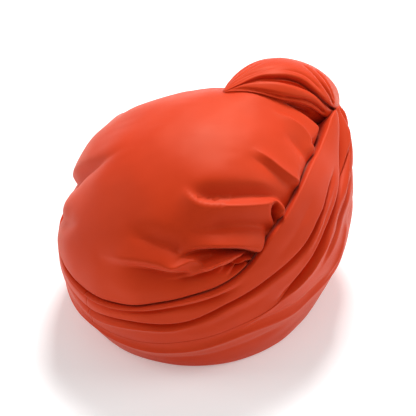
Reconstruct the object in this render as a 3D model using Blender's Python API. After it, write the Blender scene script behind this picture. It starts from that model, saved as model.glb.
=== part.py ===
"""Turban hat of smooth stretch cloth: a hollow puffed crown gathered into a pleated band, with a rolled knot.

The hat rests on its rim at height 0. The forehead faces -Y and the wearer's left is +X.
A longitude runs from 0 degrees at the forehead through 90 at the wearer's right ear to 180 at the nape,
and the wearer's left side has negative longitudes. Lengths inside this file are millimetres.
"""

from collections import namedtuple

import bmesh
import bpy
import numpy as np

METRES = 0.001

# Driving sizes of the hat's overall form
HALF_WIDTH = 106.0
HALF_LENGTH = 124.0
WIDEST_HEIGHT = 64.0
CROWN_RISE = 108.0
RIM_HALF_WIDTH = 91.0
RIM_FRONT = 97.0
RIM_BACK = 99.5
RIM_CURVE = 1.8
FOREHEAD_POINT = 0.25
NAPE_SQUARE = 0.12
CENTRE_Y = 7.2

# Cloth and assembly
CLOTH = 2.0
GAP = 0.3
KNOT_SEAT = 0.9
BAND_INSIDE = -6.0
CROWN_UNDER_BAND = -7.2
BAND_RISE = 1.5
EDGE_ROLL = 7.0
EDGE_DROP = 4.0
PUFF_REACH = 15.0
PUFF_START = 1.2
SEAM_DEPTH = 4.0
CREASE_DEPTH = 4.5
PLEAT_DEPTH = 3.5
CREASE_WIDTH = 4.0
CROWN_RIM_HEIGHT = 1.5
RIM_CHAMFER = 2.0
FOOT_INSET = 3.0

# Mesh fineness
LEFT_STEP = 7.2
FRONT_STEP = 7.5
FOLDS_START = 45
FOLDS_STEP = 4.5
FOLDS_END = 144
NAPE_STEP = 6
CROWN_ROWS_UNDER_BAND = 4
CROWN_ROWS_ON_TOP = 12
PUFF_ROWS = (3.2, 7.5, 13.5)
MIN_FOLD_WIDTH = 7.0
PATH_SAMPLES = 48

CLOTH_COLOUR = (0.62, 0.075, 0.028, 1.0)
CLOTH_ROUGHNESS = 0.55

# The band's edges and creases, as heights above the rim at each longitude
BandRow = namedtuple("BandRow", "lon edge pleat crease seam")
BAND_ROWS = (
    BandRow(lon=0, edge=110, pleat=107, crease=104, seam=100),
    BandRow(lon=6, edge=115, pleat=111, crease=107, seam=103),
    BandRow(lon=14, edge=125, pleat=119, crease=113, seam=106),
    BandRow(lon=24, edge=132, pleat=127, crease=118, seam=106),
    BandRow(lon=36, edge=132, pleat=126, crease=116, seam=103),
    BandRow(lon=48, edge=136, pleat=129, crease=114, seam=102),
    BandRow(lon=60, edge=137, pleat=130, crease=111, seam=98),
    BandRow(lon=72, edge=133, pleat=123, crease=106, seam=89),
    BandRow(lon=84, edge=128, pleat=115, crease=97, seam=73),
    BandRow(lon=96, edge=119, pleat=104, crease=89, seam=62),
    BandRow(lon=108, edge=102, pleat=90, crease=82, seam=54),
    BandRow(lon=120, edge=92, pleat=82, crease=71, seam=47),
    BandRow(lon=132, edge=86, pleat=76, crease=61, seam=40),
    BandRow(lon=144, edge=78, pleat=69, crease=54, seam=35),
    BandRow(lon=156, edge=68, pleat=62, crease=46, seam=31),
    BandRow(lon=168, edge=63, pleat=58, crease=38, seam=29),
    BandRow(lon=180, edge=62, pleat=56, crease=35, seam=28),
)

# Broad swells of the form: place, reach along the surface and rise
Swell = namedtuple("Swell", "name lon height reach rise")
CROWN_SWELLS = (
    Swell("left lobe", lon=-113, height=117, reach=34, rise=6.5),
    Swell("back lobe", lon=-150, height=150, reach=30, rise=3),
    Swell("nape puff", lon=-158, height=86, reach=30, rise=5),
    Swell("back fold", lon=-147, height=100, reach=13, rise=3),
    Swell("right shoulder", lon=110, height=128, reach=35, rise=2),
)
BAND_SWELLS = (
    Swell("knot root", lon=2, height=122, reach=33, rise=26),
    Swell("front gathers", lon=14, height=96, reach=26, rise=6),
    Swell("right temple", lon=48, height=74, reach=22, rise=-4),
    Swell("right jaw", lon=76, height=24, reach=40, rise=-4),
    Swell("left jaw", lon=-72, height=26, reach=45, rise=-5),
    Swell("nape", lon=-174, height=54, reach=30, rise=2),
)

# Folds: path as longitude and height, width, depth (valleys are negative), kind, and how far each end fades
Fold = namedtuple("Fold", "name path width depth kind fade_in fade_out")
CROWN_FOLDS = (
    Fold("back crease", ((-125, 88), (-130, 102), (-137, 126), (-147, 158)), 8, -9, "valley", 0.1, 0.7),
    Fold("nape dent", ((-136, 84), (-150, 88), (-162, 98)), 8, -5, "valley", 0.1, 0.6),
    Fold("long pleat", ((90, 142), (103, 145), (121, 148), (133, 151), (143, 155)), 10, 5, "pleat", 0.05, 0.5),
    Fold("side pleat", ((68, 139), (69, 145), (72, 153), (74, 168)), 10, 4, "pleat", 0.05, 0.7),
    Fold("side hollow", ((72, 149), (83, 160), (95, 169)), 13, -4, "valley", 0.1, 0.7),
    Fold("front ridge", ((40, 140), (32, 147), (22, 155), (11, 162)), 8, 4, "ridge", 0.1, 0.6),
    Fold("gather", ((103, 112), (112, 119), (122, 125), (132, 124), (142, 110)), 8, -6, "valley", 0.05, 0.5),
    Fold("under ridge", ((108, 114), (116, 115), (128, 111), (140, 108)), 9, 4, "ridge", 0.1, 0.6),
    Fold("back swell", ((122, 107), (136, 111), (158, 109), (171, 105)), 12, 3, "ridge", 0.3, 0.5),
    Fold("back hollow", ((132, 125), (154, 127), (170, 125)), 12, -3, "valley", 0.3, 0.5),
    Fold("knot bed", ((-28, 161), (-14, 158), (1, 154), (12, 149), (18, 142), (21, 134), (22, 128)), 9, 5, "ridge",
         0.3, 0.1),
)
BAND_FOLDS = (
    Fold("brow pleat", ((24, 90), (38, 90), (50, 92), (63, 88), (74, 76)), 5, -4, "valley", 0.1, 0.4),
    Fold("brow pleat left", ((-20, 88), (-36, 88), (-50, 90), (-63, 85), (-76, 72)), 5, -4, "valley", 0.1, 0.4),
    Fold("low ridge", ((52, 70), (68, 56), (84, 36), (104, 41), (124, 33), (140, 24), (172, 28)), 6, 2.5, "ridge",
         0.2, 0.2),
    Fold("low ridge left", ((-50, 68), (-70, 52), (-90, 38), (-112, 36), (-140, 26), (-170, 28)), 6, 2.5, "ridge",
         0.2, 0.2),
    Fold("front gather", ((2, 84), (0, 104), (1, 128)), 6, -4, "valley", 0.1, 0.1),
    Fold("front gather right", ((18, 90), (13, 106), (5, 128)), 5, -3, "valley", 0.1, 0.1),
    Fold("front gather left", ((-14, 88), (-10, 106), (-5, 128)), 5, -3, "valley", 0.1, 0.1),
)

# The knot: a bowed bun between two ends where its folds converge
KNOT_REAR = np.array((26.0, -39.0, 165.0))
KNOT_FRONT = np.array((0.0, -136.0, 114.0))
KNOT_OUTWARD = np.array((0.0, -0.6, 0.8))
KNOT_HEIGHT = 26.0
KNOT_HALF_WIDTH = 34.0
KNOT_BOW = 8.0
KNOT_SKEW = 1.12
REAR_TAPER, REAR_ROUND = 2.2, 0.6
FRONT_TAPER, FRONT_ROUND = 2.9, 0.52
KNOT_FLAT = 5.0
KNOT_END = 0.015
KNOT_SECTIONS = 18
KNOT_ARC_STEP = 7.0
KNOT_CORE = 0.10
KNOT_ROUNDING = 0.10
WIDEST_WEDGE = 120

# The knot's pieces, as angles round its length: 0 is outward, 90 the wearer's right, -90 the wearer's left
KnotPiece = namedtuple("KnotPiece", "name start stop radius")
KNOT_PIECES = (
    KnotPiece("knot_left_roll", start=-118, stop=-64, radius=0.96),
    KnotPiece("knot_wrap", start=-64, stop=29, radius=1.0),
    KnotPiece("knot_fold", start=29, stop=41, radius=0.82),
    KnotPiece("knot_roll", start=41, stop=73, radius=0.98),
    KnotPiece("knot_loop", start=73, stop=118, radius=0.86),
)
KnotCrease = namedtuple("KnotCrease", "angle width depth")
KNOT_CREASES = (
    KnotCrease(angle=-92, width=8, depth=0.12),
    KnotCrease(angle=-38, width=7, depth=0.10),
    KnotCrease(angle=-14, width=6, depth=0.08),
    KnotCrease(angle=5, width=6, depth=0.10),
    KnotCrease(angle=58, width=6, depth=0.12),
    KnotCrease(angle=98, width=7, depth=0.10),
)


def band_height(column, lon):
    """Height of one of the band's lines at each longitude, the same on both sides."""
    lons = [row.lon for row in BAND_ROWS]
    heights = [getattr(row, column) for row in BAND_ROWS]
    return np.interp(np.abs(lon), lons, heights)


def half_sizes(height):
    """Half width, and half length to the front and back, of the smooth form at a height."""
    rise = np.clip((height - WIDEST_HEIGHT) / CROWN_RISE, 0, 1)
    dome = np.sqrt(1 - rise**2)
    tuck = np.clip(1 - height / WIDEST_HEIGHT, 0, 1) ** RIM_CURVE
    side = HALF_WIDTH * dome - (HALF_WIDTH - RIM_HALF_WIDTH) * tuck
    front = HALF_LENGTH * dome - (HALF_LENGTH - RIM_FRONT) * tuck
    back = HALF_LENGTH * dome - (HALF_LENGTH - RIM_BACK) * tuck
    return side, front, back


def form_point(lon, height):
    """A point of the smooth form that every layer is measured from."""
    lon, height = np.broadcast_arrays(np.asarray(lon, float), np.asarray(height, float))
    sine = np.sin(np.radians(lon))
    cosine = np.cos(np.radians(lon))
    side, front, back = half_sizes(height)
    low = np.clip(1 - height / WIDEST_HEIGHT, 0, 1)
    power = 2 + low * np.where(cosine > 0, -FOREHEAD_POINT, NAPE_SQUARE)
    reach = (np.abs(sine) ** power + np.abs(cosine) ** power) ** (-1 / power)
    length = np.where(cosine > 0, front, back)
    return np.stack([-side * sine * reach, -length * cosine * reach, height], axis=-1)


def form_normal(lon, height):
    """Outward direction of the smooth form."""
    top = WIDEST_HEIGHT + CROWN_RISE
    height = np.clip(height, 0, top - 0.02)
    step = 0.01
    along = form_point(lon + 0.2, height) - form_point(lon - 0.2, height)
    up = form_point(lon, height + step) - form_point(lon, height - step)
    normal = np.cross(along, up)
    normal /= np.linalg.norm(normal, axis=-1, keepdims=True)
    outward = form_point(lon, height) - (0, 0, WIDEST_HEIGHT)
    flip = np.sign(np.sum(normal * outward, axis=-1, keepdims=True))
    return normal * flip


def meridian_table():
    """Heights and the lengths of cloth from the rim to them, along a mean meridian."""
    turn = np.linspace(0, np.pi / 2, 400)
    heights = np.concatenate([np.linspace(0, WIDEST_HEIGHT, 100)[:-1], WIDEST_HEIGHT + CROWN_RISE * np.sin(turn)])
    side, front, _ = half_sizes(heights)
    radius = (side + front) / 2
    steps = np.hypot(np.diff(heights), np.diff(radius))
    return heights, np.concatenate([[0], np.cumsum(steps)])


MERIDIAN_HEIGHTS, MERIDIAN_LENGTHS = meridian_table()


def length_at(height):
    """Length of cloth from the rim up to a height."""
    return np.interp(height, MERIDIAN_HEIGHTS, MERIDIAN_LENGTHS)


def height_at(length):
    """Height that a length of cloth from the rim reaches."""
    return np.interp(length, MERIDIAN_LENGTHS, MERIDIAN_HEIGHTS)


def smooth_path(points):
    """A fold's path on the form: a smooth curve through its few points."""
    points = np.array(points, float)
    stations = np.linspace(0, len(points) - 1, PATH_SAMPLES)
    padded = np.vstack([2 * points[0] - points[1], points, 2 * points[-1] - points[-2]])
    index = np.minimum(stations.astype(int), len(points) - 2)
    part = (stations - index)[:, None]
    before, first, second, after = (padded[index + shift] for shift in range(4))
    curve = (
        first
        + part * (second - before) / 2
        + part**2 * (before - 2.5 * first + 2 * second - after / 2)
        + part**3 * (1.5 * (first - second) + (after - before) / 2)
    )
    return curve[:, 0], curve[:, 1]


def fold_profile(kind, across):
    """Rise of a fold of unit depth, at a distance across it in fold widths."""
    if kind == "ridge":
        return np.exp(-(across**2))
    if kind == "valley":
        return np.exp(-(np.abs(across) ** 1.4))
    crest = np.exp(-0.5 * across**2)
    drop = 1.6 * np.exp(-((across / 0.5) ** 2)) - 0.6 * np.exp(-((across / 1.7) ** 2))
    return np.where(across < 0, crest, drop)


def ease(value):
    """A smooth step from 0 to 1."""
    value = np.clip(value, 0, 1)
    return value * value * (3 - 2 * value)


def fold_lift(places, folds):
    """Rise of all folds at each place of the form."""
    lift = np.zeros(places.shape[:-1])
    flat = places.reshape(-1, 3)
    for fold in folds:
        lon, height = smooth_path(fold.path)
        line = form_point(lon, height)
        normal = form_normal(lon, height)
        tangent = np.gradient(line, axis=0)
        upward = np.cross(tangent, normal)
        upward /= np.linalg.norm(upward, axis=1, keepdims=True)
        upward *= np.sign(np.mean(upward[:, 2]))
        offset = flat[:, None, :] - line[None, :, :]
        nearest = np.argmin(np.sum(offset**2, axis=2), axis=1)
        picked = offset[np.arange(len(flat)), nearest]
        along = nearest / (PATH_SAMPLES - 1)
        across = np.linalg.norm(picked, axis=1) * np.sign(np.sum(picked * upward[nearest], axis=1))
        strength = ease(along / fold.fade_in) * ease((1 - along) / fold.fade_out)
        width = max(fold.width, MIN_FOLD_WIDTH)
        lift += (fold.depth * strength * fold_profile(fold.kind, across / width)).reshape(lift.shape)
    return lift


def swell_lift(places, swells):
    """Rise of all broad swells at each place of the form."""
    lift = np.zeros(places.shape[:-1])
    for swell in swells:
        centre = form_point(swell.lon, swell.height)
        distance = np.linalg.norm(places - centre, axis=-1)
        lift += swell.rise * np.exp(-((distance / swell.reach) ** 2))
    return lift


def knot_frame():
    """The knot's length, its direction, its outward direction and its direction to the wearer's right."""
    span = KNOT_FRONT - KNOT_REAR
    length = np.linalg.norm(span)
    along = span / length
    side = np.cross(along, KNOT_OUTWARD)
    side /= np.linalg.norm(side)
    side *= -np.sign(side[0])
    outward = np.cross(side, along)
    outward *= np.sign(outward[2])
    return length, along, outward, side


KNOT_LENGTH, KNOT_ALONG, KNOT_OUT, KNOT_SIDE = knot_frame()


def knot_girth(station):
    """The bun's thickness along its length, 0 at both ends, 1 where it is fullest and blunter in front."""
    from_middle = 2 * station**KNOT_SKEW - 1
    taper = np.where(from_middle < 0, REAR_TAPER, FRONT_TAPER)
    roundness = np.where(from_middle < 0, REAR_ROUND, FRONT_ROUND)
    return np.clip(1 - np.abs(from_middle) ** taper, 0, 1) ** roundness


def knot_axis(station):
    """The line that the knot's folds run round, bowed outward between its two ends."""
    bow = KNOT_BOW * np.sin(np.pi * station)
    return KNOT_REAR + station[..., None] * KNOT_LENGTH * KNOT_ALONG + bow[..., None] * KNOT_OUT


def knot_reach(station, angle, scale):
    """Distance from the knot's axis to its surface, at an angle round it, with a flat underside."""
    girth = knot_girth(station)
    cosine = np.cos(np.radians(angle))
    sine = np.sin(np.radians(angle))
    round_reach = girth * scale / np.sqrt((cosine / KNOT_HEIGHT) ** 2 + (sine / KNOT_HALF_WIDTH) ** 2)
    flat_reach = KNOT_FLAT * girth / np.maximum(-cosine, 1e-6)
    return np.where(cosine < 0, np.minimum(round_reach, flat_reach), round_reach)


def crown_lift(lon, length):
    """The crown's outer surface: puffed above the band's edge and drawn in under the band."""
    height = height_at(length)
    places = form_point(lon, height)
    above = length - length_at(band_height("edge", lon)) - PUFF_START
    puff = np.sqrt(1 - (1 - np.clip(above / PUFF_REACH, 0, 1)) ** 2)
    shape = swell_lift(places, CROWN_SWELLS) + fold_lift(places, CROWN_FOLDS)
    return CROWN_UNDER_BAND + puff * (shape - CROWN_UNDER_BAND)


def band_lift(lon, length):
    """The band's outer surface, before its edges are rounded."""
    height = height_at(length)
    places = form_point(lon, height)
    shape = BAND_RISE + swell_lift(places, BAND_SWELLS) + fold_lift(places, BAND_FOLDS)
    return np.maximum(shape, BAND_INSIDE + CLOTH)


def surface(lon, length, lift):
    """Points at a lift from the form, in metres, with the hat's box centred on the origin."""
    height = height_at(length)
    points = form_point(lon, height) + form_normal(lon, height) * np.asarray(lift)[..., None]
    return points + (0, CENTRE_Y, 0)


def make_object(name, points, faces):
    """One named object from points in millimetres and faces, with its own cloth material."""
    mesh = bpy.data.meshes.new(name)
    shape = bmesh.new()
    corners = [shape.verts.new(point) for point in points * METRES]
    for face in faces:
        shape.faces.new([corners[index] for index in face])
    bmesh.ops.triangulate(shape, faces=shape.faces, quad_method="FIXED")
    bmesh.ops.recalc_face_normals(shape, faces=shape.faces)
    shape.to_mesh(mesh)
    shape.free()
    mesh.shade_smooth()
    mesh.set_sharp_from_angle(angle=np.radians(60))
    mesh.materials.append(cloth_material(name))
    thing = bpy.data.objects.new(name, mesh)
    bpy.context.scene.collection.objects.link(thing)
    return thing


def cloth_material(name):
    """A burnt-orange satiny cloth."""
    material = bpy.data.materials.new(name + "_cloth")
    material.use_nodes = True
    shader = material.node_tree.nodes["Principled BSDF"]
    shader.inputs["Base Color"].default_value = CLOTH_COLOUR
    shader.inputs["Roughness"].default_value = CLOTH_ROUGHNESS
    shader.inputs["Metallic"].default_value = 0.0
    return material


def strip_faces(rows, columns, closed_rows, closed_columns):
    """Quads between neighbouring rows and columns of a grid of points."""
    faces = []
    for row in range(rows if closed_rows else rows - 1):
        following = (row + 1) % rows
        for column in range(columns if closed_columns else columns - 1):
            beside = (column + 1) % columns
            faces.append(
                (
                    row * columns + column,
                    row * columns + beside,
                    following * columns + beside,
                    following * columns + column,
                )
            )
    return faces


def swept_object(name, sections, closed):
    """A solid swept through closed sections, round a ring or between two flat ends."""
    count, around = sections.shape[:2]
    faces = strip_faces(count, around, closed, True)
    if not closed:
        faces.append(tuple(range(around)))
        faces.append(tuple((count - 1) * around + index for index in range(around)))
    return make_object(name, sections.reshape(-1, 3), faces)


def side_columns(side):
    """Longitudes from the forehead to the nape on one side, closest at the folds on the wearer's right."""
    if side < 0:
        return -np.arange(0, 180 + LEFT_STEP / 2, LEFT_STEP)
    front = np.arange(0, FOLDS_START, FRONT_STEP)
    folds = np.arange(FOLDS_START, FOLDS_END, FOLDS_STEP)
    return np.concatenate([front, folds, np.arange(FOLDS_END, 180 + NAPE_STEP / 2, NAPE_STEP)])


def ring_columns():
    """Longitudes once round the hat, starting at the nape and going by the wearer's left."""
    return np.concatenate([side_columns(-1)[:0:-1], side_columns(1)[:-1]])


def crown_rows():
    """Longitudes and lengths of the crown's grid, from its rim to just below its top."""
    lon = ring_columns()
    edge = length_at(band_height("edge", lon))
    rim = length_at(CROWN_RIM_HEIGHT)
    top = MERIDIAN_LENGTHS[-1]
    rows = [rim + (edge - rim) * share for share in np.linspace(0, 1, CROWN_ROWS_UNDER_BAND + 1)]
    rows += [edge + above for above in PUFF_ROWS]
    last = edge + PUFF_ROWS[-1]
    rows += [last + (top - last) * share for share in np.linspace(0, 1, CROWN_ROWS_ON_TOP + 1)[1:-1]]
    lengths = np.array(rows)
    return np.broadcast_to(lon, lengths.shape), lengths


def crown_pole(shift):
    """The crown's topmost point, moved out by a shift."""
    top = np.full(1, MERIDIAN_LENGTHS[-1])
    return surface(np.zeros(1), top, crown_lift(np.zeros(1), top) + shift)


def make_crown():
    """The hollow cap: an outer and an inner surface, joined round the rim."""
    lons, lengths = crown_rows()
    lift = crown_lift(lons, lengths)
    outer = surface(lons, lengths, lift)
    inner = surface(lons, lengths, lift - CLOTH)
    poles = np.vstack([crown_pole(0), crown_pole(-CLOTH)])
    count, around = lengths.shape
    per_wall = count * around
    faces = strip_faces(count, around, False, True)
    faces += [tuple(per_wall + index for index in face) for face in faces]
    for column in range(around):
        beside = (column + 1) % around
        faces.append((column, beside, per_wall + beside, per_wall + column))
        for wall in (0, 1):
            start = wall * per_wall + (count - 1) * around
            faces.append((start + column, start + beside, 2 * per_wall + wall))
    points = np.vstack([outer.reshape(-1, 3), inner.reshape(-1, 3), poles])
    return make_object("crown", points, faces)


def make_crown_cutter():
    """The crown filled in and grown a little."""
    lons, lengths = crown_rows()
    outer = surface(lons, lengths, crown_lift(lons, lengths) + KNOT_SEAT)
    count, around = lengths.shape
    faces = strip_faces(count, around, False, True)
    start = (count - 1) * around
    faces += [(start + column, start + (column + 1) % around, count * around) for column in range(around)]
    faces.append(tuple(range(around)))
    return make_object("crown_cutter", np.vstack([outer.reshape(-1, 3), crown_pole(KNOT_SEAT)]), faces)


def rounded_lift(lift, below_top, roll):
    """Rolls a band's surface inward near its edge."""
    curl = 1 - np.sqrt(1 - (1 - np.clip(below_top / roll, 0, 1)) ** 2)
    return lift - EDGE_DROP * curl


def rows_between(lines, shares):
    """Rows of lengths that follow the lines, with shares of the way from each line to the next."""
    rows = [low + (high - low) * share for low, high, parts in zip(lines, lines[1:], shares) for share in parts]
    return np.array(rows + [lines[-1]])


def band_sections(lon, outer_lengths, inner_shares, creases, grow):
    """Closed sections of a band strip at each longitude, from its bottom to its top and back inside."""
    bottom = outer_lengths[0]
    top = outer_lengths[-1]
    lons = np.broadcast_to(lon, outer_lengths.shape)
    lift = band_lift(lons, outer_lengths)
    lift = rounded_lift(lift, top - outer_lengths, EDGE_ROLL)
    for crease, depth in creases:
        distance = outer_lengths - length_at(band_height(crease, lons))
        lift = lift - depth * np.exp(-np.abs(distance) / CREASE_WIDTH)
    lift = np.maximum(lift, BAND_INSIDE + CLOTH)
    outer = surface(lons, outer_lengths, lift + grow)
    inner_lengths = bottom + (top - bottom) * np.array(inner_shares)[:, None]
    inner_lons = np.broadcast_to(lon, inner_lengths.shape)
    inner = surface(inner_lons, inner_lengths, np.full(inner_lengths.shape, BAND_INSIDE))
    return np.concatenate([outer, inner]).transpose(1, 0, 2)


def make_wrap(name, side, grow=0):
    """One upper wrap, from the knot down round the side to the nape. Grow thickens it outward."""
    lon = side_columns(side)
    lon[0] += side * np.degrees((GAP / 2 - grow) / RIM_BACK)
    lon[-1] -= side * np.degrees((GAP / 2 - grow) / RIM_BACK)
    bottom = length_at(band_height("seam", lon)) + GAP / 2
    top = length_at(band_height("edge", lon)) + grow
    inner_shares = (1, 0.75, 0.5, 0.25, 0)
    lines = [bottom, length_at(band_height("crease", lon)), length_at(band_height("pleat", lon)), top]
    rows = rows_between(lines, ((0, 0.12, 0.4, 0.7, 0.9), (0, 0.15, 0.5, 0.85), (0, 0.2, 0.6, 0.85)))
    creases = (
        ("seam", SEAM_DEPTH),
        ("crease", CREASE_DEPTH * ease((np.abs(lon) - 36) / 30)),
        ("pleat", PLEAT_DEPTH * ease((np.abs(lon) - 90) / 30)),
    )
    return swept_object(name, band_sections(lon, rows, inner_shares, creases, grow), False)


def make_band_lower(name, grow=0):
    """The ring that the hat rests on, with the gathers that rise to the knot in front."""
    lon = ring_columns()
    top = length_at(band_height("seam", lon)) - GAP / 2 + grow
    rows = rows_between([RIM_CHAMFER + 0 * top, top], ((0, 0.1, 0.22, 0.35, 0.48, 0.61, 0.73, 0.85, 0.95),))
    inner_shares = (1, 0.875, 0.75, 0.625, 0.5, 0.375, 0.25, 0.125, 0)
    sections = band_sections(lon, rows, inner_shares, (("seam", SEAM_DEPTH),), grow)
    foot = surface(lon, np.zeros(len(lon)), np.full(len(lon), BAND_RISE - RIM_CHAMFER - FOOT_INSET))
    sections = np.concatenate([foot[:, None, :], sections], axis=1)
    sections[:, (0, -1), 2] = 0
    return swept_object(name, sections, True)


def knot_scale(piece, angle, station):
    """A knot piece's surface: rounded towards its two sides, with creases that run from end to end."""
    middle = (piece.start + piece.stop) / 2
    half = (piece.stop - piece.start) / 2
    rounding = KNOT_ROUNDING * np.abs((angle - middle) / half) ** 3
    crease = sum(fold.depth * np.exp(-np.abs(angle - fold.angle) / fold.width) for fold in KNOT_CREASES)
    return piece.radius - rounding - crease + 0 * station


def make_knot_piece(piece):
    """One fold of the knot: a wedge of the bun from its axis to its surface."""
    steps = max(3, int(round((piece.stop - piece.start) / KNOT_ARC_STEP)))
    angles = np.linspace(piece.start, piece.stop, steps + 1)
    turn = np.linspace(-1, 1, KNOT_SECTIONS)
    stations = 0.5 + (0.5 - KNOT_END) * np.sin(turn * np.pi / 2)
    station, angle = np.meshgrid(stations, angles, indexing="ij")
    reach = knot_reach(station, angle, knot_scale(piece, angle, station))
    direction = (
        np.cos(np.radians(angle))[..., None] * KNOT_OUT + np.sin(np.radians(angle))[..., None] * KNOT_SIDE
    )
    surface_points = knot_axis(station) + direction * reach[..., None]
    core = knot_axis(station[:, (-1, 0)]) + direction[:, (-1, 0)] * reach[:, (-1, 0), None] * KNOT_CORE
    inset = (
        np.cos(np.radians((piece.start + piece.stop) / 2)) * KNOT_OUT
        + np.sin(np.radians((piece.start + piece.stop) / 2)) * KNOT_SIDE
    )
    spread = np.sin(np.radians(min(piece.stop - piece.start, WIDEST_WEDGE) / 2))
    sections = np.concatenate([surface_points, core], axis=1) + inset * GAP / 2 / spread
    return swept_object(piece.name, sections + (0, CENTRE_Y, 0), False)


def make_cutters():
    """The cloth under the knot, grown a little, to trim the knot's underside with."""
    cutters = [
        make_crown_cutter(),
        make_wrap("wrap_right_cutter", 1, KNOT_SEAT),
        make_wrap("wrap_left_cutter", -1, KNOT_SEAT),
        make_band_lower("band_lower_cutter", KNOT_SEAT),
    ]
    for cutter in cutters:
        cutter.hide_render = True
        cutter.display_type = "WIRE"
    return cutters


def trim(thing, cutters):
    """Cuts away what would reach into the cloth under a knot piece."""
    for cutter in cutters:
        cut = thing.modifiers.new("trim_" + cutter.name, "BOOLEAN")
        cut.operation = "DIFFERENCE"
        cut.solver = "EXACT"
        cut.object = cutter


def main():
    for thing in list(bpy.data.objects):
        bpy.data.objects.remove(thing)
    make_crown()
    make_wrap("wrap_right", 1)
    make_wrap("wrap_left", -1)
    make_band_lower("band_lower")
    cutters = make_cutters()
    for piece in KNOT_PIECES:
        trim(make_knot_piece(piece), cutters)


main()
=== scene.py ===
"""Looks of the turban hat: smooth burnt-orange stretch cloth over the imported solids.

The hat rests on its rim at height 0. The forehead faces -Y and the wearer's left is +X. A longitude runs
from 0 degrees at the forehead through 90 at the wearer's right ear to 180 at the nape. The hat's lengths
are millimetres, and METRES turns them into the frame's units. Flat sizes, the floor, the camera and the
lights are in metres.
"""

from collections import namedtuple

import bmesh
import bpy
import numpy as np
from mathutils import Matrix, Vector


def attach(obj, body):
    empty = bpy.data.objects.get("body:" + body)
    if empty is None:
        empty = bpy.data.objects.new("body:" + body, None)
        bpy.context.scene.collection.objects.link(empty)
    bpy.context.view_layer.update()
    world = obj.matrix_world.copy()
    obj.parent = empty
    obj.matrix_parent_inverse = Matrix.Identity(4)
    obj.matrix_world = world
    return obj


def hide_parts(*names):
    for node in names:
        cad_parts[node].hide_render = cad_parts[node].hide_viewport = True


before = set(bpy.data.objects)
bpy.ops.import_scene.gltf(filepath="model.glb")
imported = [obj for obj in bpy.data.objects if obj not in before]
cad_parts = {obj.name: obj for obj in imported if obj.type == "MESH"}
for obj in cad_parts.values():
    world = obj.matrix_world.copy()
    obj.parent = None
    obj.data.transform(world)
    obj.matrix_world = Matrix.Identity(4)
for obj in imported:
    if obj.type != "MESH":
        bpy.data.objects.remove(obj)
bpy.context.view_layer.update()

METRES = 0.001


def table(kind, *rows):
    """A table of one kind of named row, from plain rows."""
    return [kind(*row) for row in rows]


# The hat's overall form, as in the solids
HALF_WIDTH = 106.0
HALF_LENGTH = 124.0
WIDEST_HEIGHT = 64.0
CROWN_RISE = 108.0
RIM_HALF_WIDTH = 91.0
RIM_FRONT = 97.0
RIM_BACK = 99.5
RIM_CURVE = 1.8
FOREHEAD_POINT = 0.25
NAPE_SQUARE = 0.12
CENTRE_Y = 7.2

# Steps for the form's own direction and for its lengths of cloth
NORMAL_LON_STEP = 0.2
NORMAL_HEIGHT_STEP = 0.01
POLE_MARGIN = 0.02
MERIDIAN_LOW_STEPS = 400
MERIDIAN_DOME_STEPS = 1600

# Cloth and layers, as lifts from the form
CLOTH = 1.6
GAP = 0.3
END_GAP = 0.015
BAND_INSIDE = -6.0
BAND_RISE = 1.5
CROWN_UNDER_BAND = -7.2
CROWN_RIM_HEIGHT = 1.5

# How the crown puffs out above the band's edge. A hollow there widens the puff, and a ridge narrows it
PUFF_REACH = 10.0
PUFF_START = 0.3
PUFF_BY_FOLD = 0.8
PUFF_FOLD_LEAST, PUFF_FOLD_MOST = -6, 8
# Share of the puff's reach round the band: the crown fills out close to the edge at the nape and beside it
PUFF_LONS = (-180, -135, -105, 92, 101, 118, 165, 180)
PUFF_SHARES = (0.4, 0.4, 1, 1, 0.25, 0.3, 0.4, 0.4)

# Rolled edges of the wraps and the lower ring: how far in the roll starts, and how deep it drops
EDGE_ROLL, EDGE_DROP = 2.0, 2.8
RIM_ROLL, RIM_DROP = 3.0, 2.5
WRAP_SEAM_ROLL, WRAP_SEAM_DROP = 3.0, 5.0
RING_SEAM_ROLL, RING_SEAM_DROP = 3.2, 4.0
# The seam's roll past its long crease: the share that is left, the longitude where it ends and its fade
SEAM_ROLL_LEAST = 0.04
SEAM_ROLL_END = 106
SEAM_ROLL_FADE = 22

# Columns of the meshes: stretches of longitude with their steps, closest at the folds on the wearer's right
CROWN_COLUMNS = ((-180, -150, 0.9), (-150, -100, 0.8), (-100, 16, 1.5), (16, 60, 0.55), (60, 146, 0.33),
                 (146, 180, 0.6))
WRAP_RIGHT_COLUMNS = ((0, 30, 0.8), (30, 150, 0.42), (150, 180, 0.7))
WRAP_LEFT_COLUMNS = ((0, 180, 0.9),)
RING_COLUMNS = ((-180, 0, 1.1), (0, 24, 0.6), (24, 110, 0.45), (110, 180, 0.7))

# Rows of the meshes: counts, or stretches of cloth with their steps
CROWN_TUCKED_ROWS = 6
CROWN_PUFF_ROWS = ((0, 34, 0.62), (34, 62, 1.0))
CROWN_TOP_ROWS = 34
CROWN_TOP_CROWDING = 0.9
CROWN_INNER_EVERY = 3
EDGE_STEPS = np.array((0, 0.12, 0.35, 0.7, 1.1, 1.6, 2.2, 3.0))[:, None]
WRAP_ROWS, WRAP_INNER_ROWS = 76, 12
RING_ROWS, RING_INNER_ROWS = 92, 14

# The band's upper edge, and the seam between its wraps and its lower ring, as heights above the rim at
# longitudes to either side
BAND_LONS = (0, 6, 14, 24, 36, 48, 60, 72, 84, 96, 108, 120, 132, 144, 156, 168, 180)
BAND_LINES = {
    "edge": (112, 117, 127, 131, 134, 136.5, 136, 132.5, 126, 117, 101.5, 90.5, 83.5, 76.5, 68.5, 64, 62),
    "seam": (102, 105, 108, 108, 106, 103, 97, 88, 73, 62, 53, 46, 40, 35, 31, 29, 28),
}

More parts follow.
